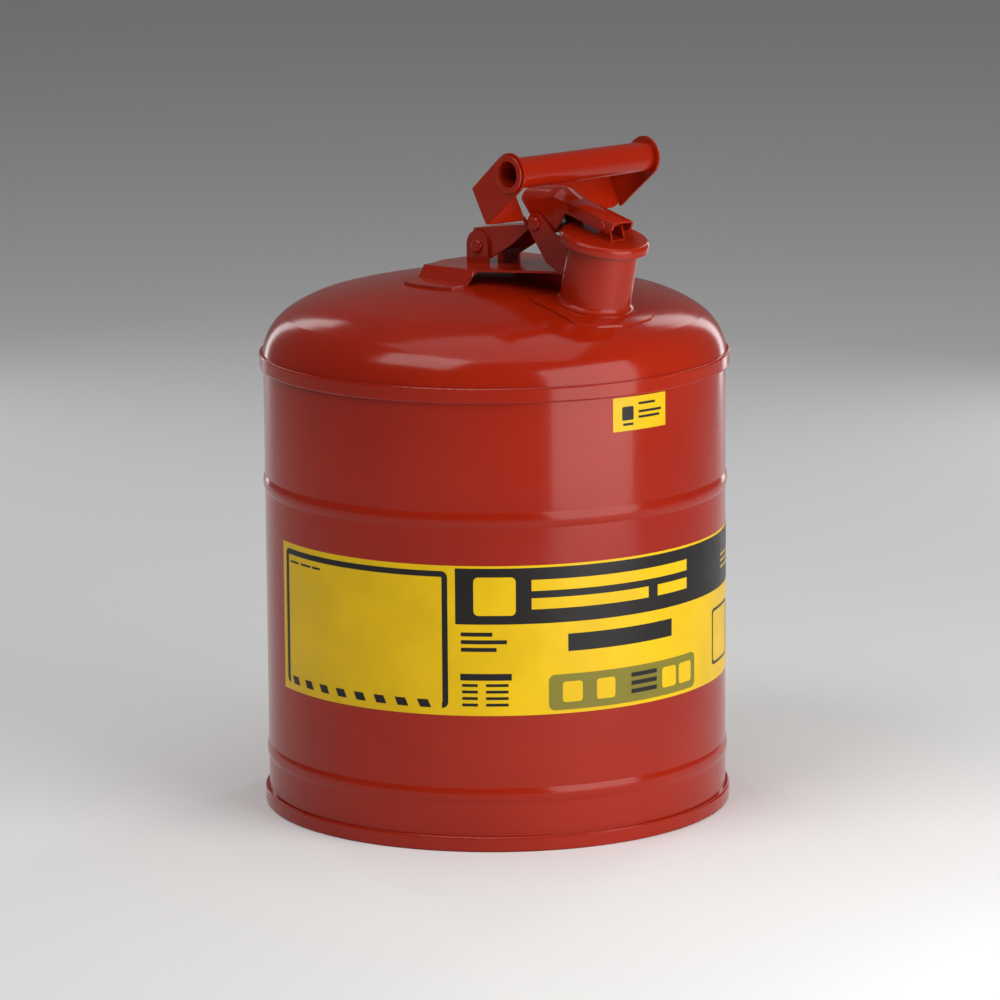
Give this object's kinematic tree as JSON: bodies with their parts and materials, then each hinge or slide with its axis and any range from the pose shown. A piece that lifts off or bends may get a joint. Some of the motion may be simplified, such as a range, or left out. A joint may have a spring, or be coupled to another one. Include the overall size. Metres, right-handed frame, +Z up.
{
  "type": "safety gas can",
  "caption": "Steel safety can for fuel: domed drum with a capped spout, sprung pouring lid and a swinging carrying handle.",
  "frame": {"origin": "centre of the flat chime ring that the can stands on", "axes": "+Z up along the drum axis, +X towards the pouring spout, +Y to the left of the spout"},
  "size_m": [0.2976, 0.2976, 0.4275],
  "materials": {
    "enamel": "gloss red enamel",
    "zinc_steel": "zinc-plated steel",
    "mesh_steel": "woven stainless mesh",
    "gasket_rubber": "fuel-resistant rubber",
    "label_film": "printed yellow film"
  },
  "bodies": {
    "can": {"body_shell": "enamel", "bottom_pan": "enamel", "top_dome": "enamel", "spout_neck": "enamel", "arrester_collar": "zinc_steel", "arrester_mesh_outer": "mesh_steel", "arrester_mesh_inner": "mesh_steel", "arrester_end_cap": "zinc_steel", "saddle_bracket": "enamel", "handle_pivot_pin": "enamel", "lid_hinge_pin": "enamel", "wrap_label": "label_film", "approval_label": "label_film"},
    "handle": {"handle_yoke": "enamel", "grip_tube": "enamel", "pivot_bush": "zinc_steel"},
    "lid": {"lid_arm": "enamel", "lid_disc": "enamel", "lid_gasket": "gasket_rubber", "gasket_retainer": "zinc_steel", "lid_lug": "enamel", "lid_pin": "enamel", "lid_spring": "zinc_steel"}
  },
  "joints": [
    {"name": "handle_swing", "type": "hinge", "parent": "can", "child": "handle", "pos_m": [0, 0, 0.357], "axis": [0, 1, 0], "range_deg": [-110, 0]},
    {"name": "lid_open", "type": "hinge", "parent": "can", "child": "lid", "pos_m": [0.054, 0, 0.3765], "axis": [0, -1, 0], "range_deg": [0, 20], "stiffness_Nm_per_rad": 1.5, "springref_deg": -11.46}
  ]
}
